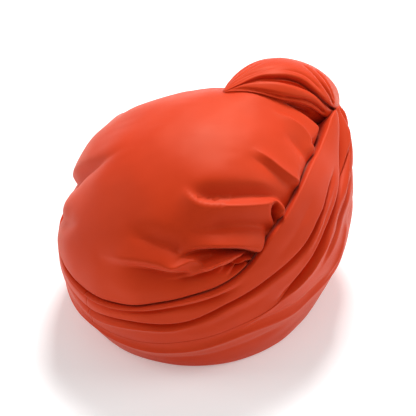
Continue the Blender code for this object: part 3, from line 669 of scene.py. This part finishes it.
def seam_roll(lon):
    """How far the seam's edges roll in: fully along the long crease, and hardly past it."""
    fade = ease((SEAM_ROLL_END - np.abs(lon)) / SEAM_ROLL_FADE)
    return SEAM_ROLL_LEAST + (1 - SEAM_ROLL_LEAST) * fade


def strip_faces(rows, columns, closed_rows, start=0):
    """Quads between neighbouring rows and columns of a grid of points whose columns run full circle."""
    row = np.arange(rows if closed_rows else rows - 1)[:, None]
    column = np.arange(columns)[None, :]
    following = (row + 1) % rows
    beside = (column + 1) % columns
    corners = (
        row * columns + column,
        row * columns + beside,
        following * columns + beside,
        following * columns + column,
    )
    return np.stack(corners, axis=-1).reshape(-1, 4) + start


def set_inputs(node, values):
    """Gives a node's inputs their values by name."""
    for name, value in values.items():
        node.inputs[name].default_value = value


def cloth_material(name):
    """Satiny stretch cloth: a fine weave, soft uneven tone and a low sheen."""
    material = bpy.data.materials.new(name + "_satin")
    material.use_nodes = True
    nodes = material.node_tree.nodes
    shader = nodes["Principled BSDF"]
    set_inputs(shader, SATIN)
    place = nodes.new("ShaderNodeTexCoord")
    cloth_map = nodes.new("ShaderNodeUVMap")
    cloth_map.uv_map = "cloth"
    tone = nodes.new("ShaderNodeTexNoise")
    set_inputs(tone, TONE)
    colours = nodes.new("ShaderNodeValToRGB")
    deep, bright = colours.color_ramp.elements
    deep.position, deep.color = DEEP_TONE, (*CLOTH_DEEP, 1)
    bright.position, bright.color = BRIGHT_TONE, (*CLOTH_RED, 1)
    weave = nodes.new("ShaderNodeMath")
    weave.operation = "MULTIPLY"
    shade = nodes.new("ShaderNodeMix")
    shade.data_type = "RGBA"
    shade.blend_type = "MULTIPLY"
    set_inputs(shade, {"Factor": WEAVE_SHADE})
    rough = nodes.new("ShaderNodeMapRange")
    set_inputs(rough, ROUGHNESS)
    weave_bump = nodes.new("ShaderNodeBump")
    set_inputs(weave_bump, WEAVE_BUMP)
    links = [
        (place, "Object", tone, "Vector"),
        (tone, "Fac", colours, "Fac"),
        (tone, "Fac", rough, "Value"),
        (colours, "Color", shade, "A"),
        (weave, "Value", shade, "B"),
        (weave, "Value", weave_bump, "Height"),
        (shade, "Result", shader, "Base Color"),
        (rough, "Result", shader, "Roughness"),
        (weave_bump, "Normal", shader, "Normal"),
    ]
    for index, direction in enumerate("XY"):
        wave = nodes.new("ShaderNodeTexWave")
        wave.bands_direction = direction
        set_inputs(wave, WEAVE)
        links += [(cloth_map, "UV", wave, "Vector"), (wave, "Fac", weave, index)]
    for source, output, target, socket in links:
        material.node_tree.links.new(source.outputs[output], target.inputs[socket])
    return material


def make_piece(node, points, quads, triangles, weave_map, flat_ends):
    """One named piece from points in millimetres, with its cloth and its place in the frame."""
    name = node + "_cloth"
    mesh = bpy.data.meshes.new(name)
    mesh.from_pydata((points * METRES).tolist(), [], quads.tolist() + triangles.tolist())
    shape = bmesh.new()
    shape.from_mesh(mesh)
    bmesh.ops.recalc_face_normals(shape, faces=shape.faces)
    if shape.calc_volume(signed=True) < 0:
        bmesh.ops.reverse_faces(shape, faces=shape.faces)
    shape.to_mesh(mesh)
    shape.free()
    smooth = np.ones(len(mesh.polygons), bool)
    smooth[len(quads):] = not flat_ends
    mesh.polygons.foreach_set("use_smooth", smooth)
    layer = mesh.uv_layers.new(name="cloth")
    corners = np.zeros(len(mesh.loops), np.int32)
    mesh.loops.foreach_get("vertex_index", corners)
    layer.data.foreach_set("uv", (weave_map[corners] * METRES).astype(np.float32).ravel())
    thing = bpy.data.objects.new(name, mesh)
    bpy.context.scene.collection.objects.link(thing)
    mesh.materials.append(cloth_material(name))
    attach(thing, "root")
    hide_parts(node)
    return thing


def crown_lengths(lon):
    """The crown's rows as lengths of cloth: under the band, over its puff, and up to near the pole."""
    edge = band_length("edge", lon)
    rim = length_at(CROWN_RIM_HEIGHT)
    rows = [rim + (edge - rim) * share for share in np.linspace(0, 1, CROWN_TUCKED_ROWS + 1)[:-1]]
    rows += [edge + above for above in graded(CROWN_PUFF_ROWS)]
    last = rows[-1]
    rest = np.linspace(0, 1, CROWN_TOP_ROWS)[1:-1] ** CROWN_TOP_CROWDING
    rows += [last + (TOP_LENGTH - last) * share for share in rest]
    return np.array(rows)


def pole_triangles(start, around, pole):
    """Triangles from the last row of a surface to its pole."""
    return [(start + column, start + (column + 1) % around, pole) for column in range(around)]


def rim_triangles(around, inner_start, inner_around):
    """Triangles round the crown's rim, from its fine outer row to its coarser inner one."""
    triangles = []
    for column in range(inner_around):
        inner_here = inner_start + column
        inner_next = inner_start + (column + 1) % inner_around
        first = column * CROWN_INNER_EVERY
        last = min(first + CROWN_INNER_EVERY, around)
        fine = [index % around for index in range(first, last + 1)]
        triangles += [(here, beside, inner_here) for here, beside in zip(fine, fine[1:])]
        triangles.append((fine[-1], inner_next, inner_here))
    return triangles


def make_crown():
    """The hollow cap: a fine outer and a coarser inner surface, joined round the rim."""
    lon = graded(CROWN_COLUMNS)
    lengths = crown_lengths(lon)
    count, around = lengths.shape
    lons = np.broadcast_to(lon, lengths.shape)
    lift = crown_lift(lons, lengths)
    outer = surface(lons, lengths, lift)
    kept_rows = np.unique(np.append(np.arange(0, count, CROWN_INNER_EVERY), count - 1))
    kept = np.ix_(kept_rows, np.arange(0, around, CROWN_INNER_EVERY))
    inner = surface(lons[kept], lengths[kept], lift[kept] - CLOTH)
    top = (np.zeros(1), np.full(1, TOP_LENGTH))
    poles = [surface(*top, crown_lift(*top) - depth) for depth in (0, CLOTH)]
    inner_count, inner_around = inner.shape[:2]
    inner_start = count * around
    pole = inner_start + inner_count * inner_around
    outer_faces = strip_faces(count, around, False)
    inner_faces = strip_faces(inner_count, inner_around, False, inner_start)
    triangles = pole_triangles(inner_start - around, around, pole)
    triangles += pole_triangles(pole - inner_around, inner_around, pole + 1)
    triangles += rim_triangles(around, inner_start, inner_around)
    points = np.vstack([outer.reshape(-1, 3), inner.reshape(-1, 3), *poles])
    down = TOP_LENGTH - lengths
    from_top = np.concatenate([down.ravel(), down[kept].ravel(), [0, 0]])
    turn = np.radians(np.concatenate([lons.ravel(), lons[kept].ravel(), [0, 0]]))
    weave_map = np.stack([from_top * np.sin(turn), from_top * np.cos(turn)], axis=1)
    quads = np.vstack([outer_faces, inner_faces])
    return make_piece("crown", points, quads, np.array(triangles), weave_map, False)


def strip_lengths(low_rows, high_rows, count):
    """A strip's rows as lengths of cloth: close at both edges, and even between them."""
    shares = np.linspace(0, 1, count)[1:-1, None]
    return np.concatenate([low_rows, low_rows[-1] + (high_rows[0] - low_rows[-1]) * shares, high_rows])


def band_sections(lon, lengths, inner_count, roll_top, roll_bottom):
    """Closed sections of a band strip at each longitude, from its bottom to its top and back inside."""
    bottom, top = lengths[0], lengths[-1]
    lift = band_lift(lon, lengths)
    lift = rounded_lift(lift, top - lengths, *roll_top)
    lift = rounded_lift(lift, lengths - bottom, *roll_bottom)
    lift = np.maximum(lift, BAND_INSIDE + CLOTH)
    outer = surface(lon, lengths, lift)
    inner_lengths = bottom + (top - bottom) * np.linspace(1, 0, inner_count)[:, None]
    inner = surface(lon, inner_lengths, np.full(inner_lengths.shape, BAND_INSIDE))
    across = np.concatenate([lengths, inner_lengths])
    along = np.radians(np.broadcast_to(lon, across.shape)) * (HALF_WIDTH + HALF_LENGTH) / 2
    weave_map = np.stack([along, across], axis=-1)
    return np.concatenate([outer, inner]).transpose(1, 0, 2), weave_map.transpose(1, 0, 2)


def end_cap(start, around, outer_count):
    """Triangles that close one end of a strip, laced between its outer line and its inner line."""
    outer = [start + index for index in range(outer_count)]
    inner = [start + around - 1 - index for index in range(around - outer_count)]
    steps = [(index / len(outer), False) for index in range(1, len(outer))]
    steps += [(index / len(inner), True) for index in range(1, len(inner))]
    triangles = []
    out, back = 0, 0
    for _, on_inner in sorted(steps):
        if on_inner:
            triangles.append((inner[back + 1], inner[back], outer[out]))
            back += 1
        else:
            triangles.append((outer[out], outer[out + 1], inner[back]))
            out += 1
    return triangles


def swept_piece(node, sections, weave_map, outer_count=0):
    """A piece swept through closed sections: a ring, or a strip with two laced ends."""
    count, around = sections.shape[:2]
    triangles = []
    if outer_count:
        for start in (0, (count - 1) * around):
            triangles += end_cap(start, around, outer_count)
    quads = strip_faces(count, around, outer_count == 0)
    triangles = np.array(triangles).reshape(-1, 3)
    return make_piece(node, sections.reshape(-1, 3), quads, triangles, weave_map.reshape(-1, 2), True)


def make_wrap(node, columns, side):
    """One upper wrap, from the knot down round the side to the nape."""
    lon = side * np.append(graded(columns), 180)
    end_gap = np.degrees(END_GAP / RIM_BACK)
    lon[0] += side * end_gap
    lon[-1] -= side * end_gap
    bottom = band_length("seam", lon) + GAP / 2
    top = band_length("edge", lon)
    share = seam_roll(lon)
    low_rows = bottom + EDGE_STEPS * share
    high_rows = top - EDGE_STEPS[::-1]
    lengths = strip_lengths(low_rows, high_rows, WRAP_ROWS)
    roll_bottom = (WRAP_SEAM_ROLL * share, WRAP_SEAM_DROP * share)
    sections, weave_map = band_sections(lon, lengths, WRAP_INNER_ROWS, (EDGE_ROLL, EDGE_DROP), roll_bottom)
    return swept_piece(node, sections, weave_map, len(lengths))


def make_band_lower():
    """The ring that the hat rests on, with the gathers that rise to the knot in front."""
    lon = graded(RING_COLUMNS)
    top = band_length("seam", lon) - GAP / 2
    share = seam_roll(lon)
    low_rows = np.broadcast_to(EDGE_STEPS, (len(EDGE_STEPS), len(lon)))
    high_rows = top - EDGE_STEPS[::-1] * share
    lengths = strip_lengths(low_rows, high_rows, RING_ROWS)
    roll_top = (RING_SEAM_ROLL * share, RING_SEAM_DROP * share)
    sections, weave_map = band_sections(lon, lengths, RING_INNER_ROWS, roll_top, (RIM_ROLL, RIM_DROP))
    sections[:, 0, 2] = 0
    sections[:, -1, 2] = 0
    sections[..., 2] = np.maximum(sections[..., 2], 0)
    return swept_piece("band_lower", sections, weave_map)


def knot_frame():
    """The knot's length, its direction, its outward direction and its direction to the wearer's right."""
    span = KNOT_FRONT - KNOT_REAR
    length = np.linalg.norm(span)
    along = span / length
    side = np.cross(along, KNOT_OUTWARD)
    side /= np.linalg.norm(side)
    side *= -np.sign(side[0])
    outward = np.cross(side, along)
    outward *= np.sign(outward[2])
    return length, along, outward, side


KNOT_LENGTH, KNOT_ALONG, KNOT_OUT, KNOT_SIDE = knot_frame()


def knot_girth(station):
    """The bun's thickness along its length, 0 at both ends, 1 where it is fullest and blunter in front."""
    from_middle = 2 * station**KNOT_SKEW - 1
    taper = np.where(from_middle < 0, REAR_TAPER, FRONT_TAPER)
    roundness = np.where(from_middle < 0, REAR_ROUND, FRONT_ROUND)
    return np.clip(1 - np.abs(from_middle) ** taper, 0, 1) ** roundness


def knot_axis(station):
    """The line that the knot's folds run round, bowed outward between its two ends."""
    bow = KNOT_BOW * np.sin(np.pi * station)
    return KNOT_REAR + station[..., None] * KNOT_LENGTH * KNOT_ALONG + bow[..., None] * KNOT_OUT


def knot_reach(station, angle, scale):
    """Distance from the knot's axis to its surface, at an angle round it, with a flat underside."""
    girth = knot_girth(station)
    cosine = np.cos(np.radians(angle))
    sine = np.sin(np.radians(angle))
    round_reach = girth * scale / np.sqrt((cosine / KNOT_HEIGHT) ** 2 + (sine / KNOT_HALF_WIDTH) ** 2)
    underside = KNOT_FLAT + KNOT_SAG * ease((station - SAG_START) / SAG_LENGTH)
    flat_reach = underside * girth / np.maximum(-cosine, LEAST_COSINE)
    reach = np.where(cosine < 0, np.minimum(round_reach, flat_reach), round_reach)
    pinch = PINCH * ease((station - PINCH_START) / PINCH_LENGTH)
    pinch = pinch * ease((angle - PINCH_ANGLE) / PINCH_SPREAD)
    return reach * (1 - pinch)


def knot_line(name, station):
    """The angle of one of the knot's lines at each station."""
    return hermite(station, KNOT_STATIONS, KNOT_LINES[name])


def knot_direction(angle):
    """The outward direction at an angle round the knot."""
    turn = np.radians(angle)
    return np.cos(turn)[..., None] * KNOT_OUT + np.sin(turn)[..., None] * KNOT_SIDE


def knot_place(station, angle):
    """A point of the knot's smooth outer form."""
    return knot_axis(station) + knot_direction(angle) * knot_reach(station, angle, 1.0)[..., None]


def knot_crease_drop(station, angle):
    """How far the knot's creases and strand lines lower its surface."""
    places = knot_place(station, angle)
    drop = np.zeros(station.shape)
    for crease in KNOT_CREASES:
        path = smooth_path(crease.path, CREASE_SAMPLES)
        line = knot_place(path[:, 0], path[:, 1])
        along = np.linspace(0, 1, CREASE_SAMPLES)
        strength = ease(along / crease.fade_in) * ease((1 - along) / crease.fade_out)
        apart = np.linalg.norm(places[:, :, None, :] - line, axis=-1)
        nearest = apart.argmin(axis=-1)
        profile = crest_profile(apart.min(axis=-1), crease.width, crease.width, CREASE_ROUND)
        drop += crease.depth * strength[nearest] * profile
    return drop


def make_knot_piece(piece):
    """One fold of the knot: a wedge of the bun with rolled edges."""
    turn = np.linspace(-1, 1, KNOT_COLUMNS)
    stations = 0.5 + (0.5 - KNOT_END) * np.sin(turn * np.pi / 2)
    share = 0.5 - 0.5 * np.cos(np.pi * np.linspace(0, 1, KNOT_ROWS))
    station = np.broadcast_to(stations[:, None], (KNOT_COLUMNS, KNOT_ROWS))
    start = knot_line(piece.start, station)
    stop = knot_line(piece.stop, station)
    angle = start + (stop - start) * share
    reach = knot_reach(station, angle, piece.radius)
    girth = knot_girth(station)
    depth = KNOT_ROLL_DEPTH * girth
    lowered = reach
    for turned, roll in ((angle - start, piece.roll_start), (stop - angle, piece.roll_stop)):
        width = np.maximum(roll * girth, KNOT_LEAST_ROLL)
        lowered = rounded_lift(lowered, np.radians(turned) * reach, width, roll * depth)
    lowered = lowered - knot_crease_drop(station, angle) * girth
    core = reach * KNOT_CORE
    lowered = np.maximum(lowered, core + KNOT_LEAST_SKIN * girth)
    direction = knot_direction(angle)
    axis = knot_axis(stations)
    skin = axis[:, None] + direction * lowered[..., None]
    shares = np.linspace(0, 1, KNOT_SIDE_ROWS)[:, None, None]
    stop_core = axis + direction[:, -1] * core[:, -1, None]
    stop_side = skin[:, -1] + (stop_core - skin[:, -1]) * shares[1:]
    start_core = axis + direction[:, 0] * core[:, 0, None]
    start_side = start_core + (skin[:, 0] - start_core) * shares[:-1]
    sections = np.concatenate([skin, stop_side.transpose(1, 0, 2), start_side.transpose(1, 0, 2)], axis=1)
    sections = sections + (0, CENTRE_Y, 0)
    along = np.broadcast_to(stations[:, None] * KNOT_LENGTH, sections.shape[:2])
    steps = np.linalg.norm(np.diff(sections, axis=1), axis=2)
    across = np.concatenate([np.zeros((KNOT_COLUMNS, 1)), np.cumsum(steps, axis=1)], axis=1)
    weave_map = np.stack([along, across], axis=-1)
    return swept_piece(piece.name, sections, weave_map, sections.shape[1] // 2)


def make_floor():
    """A plain pale studio floor."""
    mesh = bpy.data.meshes.new("floor")
    corners = [(x * FLOOR_HALF, y * FLOOR_HALF, 0) for x, y in ((-1, -1), (1, -1), (1, 1), (-1, 1))]
    mesh.from_pydata(corners, [], [(0, 1, 2, 3)])
    material = bpy.data.materials.new("floor_paint")
    material.use_nodes = True
    set_inputs(material.node_tree.nodes["Principled BSDF"], FLOOR_PAINT)
    mesh.materials.append(material)
    floor = bpy.data.objects.new("floor", mesh)
    bpy.context.scene.collection.objects.link(floor)


def look_from(azimuth, elevation):
    """Directions to the camera, to its right and up."""
    turn, lift = np.radians(azimuth), np.radians(elevation)
    back = Vector((np.sin(turn) * np.cos(lift), -np.cos(turn) * np.cos(lift), np.sin(lift)))
    right = Vector((np.cos(turn), np.sin(turn), 0))
    return back, right, back.cross(right)


def place_facing(name, data, target, directions, distance):
    """Links a camera or light that looks at a target from a distance, and returns it."""
    back, right, up = directions
    turn = Matrix((right, up, back)).transposed().to_4x4()
    thing = bpy.data.objects.new(name, data)
    thing.matrix_world = Matrix.Translation(target + back * distance) @ turn
    bpy.context.scene.collection.objects.link(thing)
    return thing


def make_camera():
    """A long lens at the photograph's angle and frame."""
    directions = look_from(CAMERA_AZIMUTH, CAMERA_ELEVATION)
    _, right, up = directions
    centre = Vector((0, CENTRE_Y, WIDEST_HEIGHT)) * METRES
    shift_right = (IMAGE_SIDE / 2 - FORM_PIXEL[0]) / PIXELS_PER_MM * METRES
    shift_up = (FORM_PIXEL[1] - IMAGE_SIDE / 2) / PIXELS_PER_MM * METRES
    target = centre + right * shift_right + up * shift_up
    camera = bpy.data.cameras.new("camera")
    camera.sensor_width = SENSOR
    camera.lens = SENSOR * CAMERA_DISTANCE / (IMAGE_SIDE / PIXELS_PER_MM * METRES)
    bpy.context.scene.camera = place_facing("camera", camera, target, directions, CAMERA_DISTANCE)


def area_light(name, azimuth, elevation, distance, size, power):
    """A soft square light that faces the hat."""
    light = bpy.data.lights.new(name, "AREA")
    light.size = size
    light.energy = power
    place_facing(name, light, Vector((0, 0, LIGHT_AIM)), look_from(azimuth, elevation), distance)


def make_lights():
    """A key over the hat's far side, a broad fill to each side of the camera, and an even pale surround."""
    area_light("key", azimuth=42, elevation=54, distance=1.6, size=0.45, power=25)
    area_light("right_fill", azimuth=322, elevation=34, distance=1.8, size=0.9, power=9.5)
    area_light("left_fill", azimuth=140, elevation=36, distance=1.8, size=0.9, power=7)
    world = bpy.data.worlds.new("surround")
    world.use_nodes = True
    set_inputs(world.node_tree.nodes["Background"], {"Color": (1, 1, 1, 1), "Strength": SURROUND})
    bpy.context.scene.world = world


make_camera()
cloth = {
    "crown": make_crown(),
    "wrap_right": make_wrap("wrap_right", WRAP_RIGHT_COLUMNS, 1),
    "wrap_left": make_wrap("wrap_left", WRAP_LEFT_COLUMNS, -1),
    "band_lower": make_band_lower(),
}
for knot_piece in KNOT_PIECES:
    cloth[knot_piece.name] = make_knot_piece(knot_piece)
make_floor()
make_lights()
bpy.context.scene.view_settings.view_transform = "Standard"
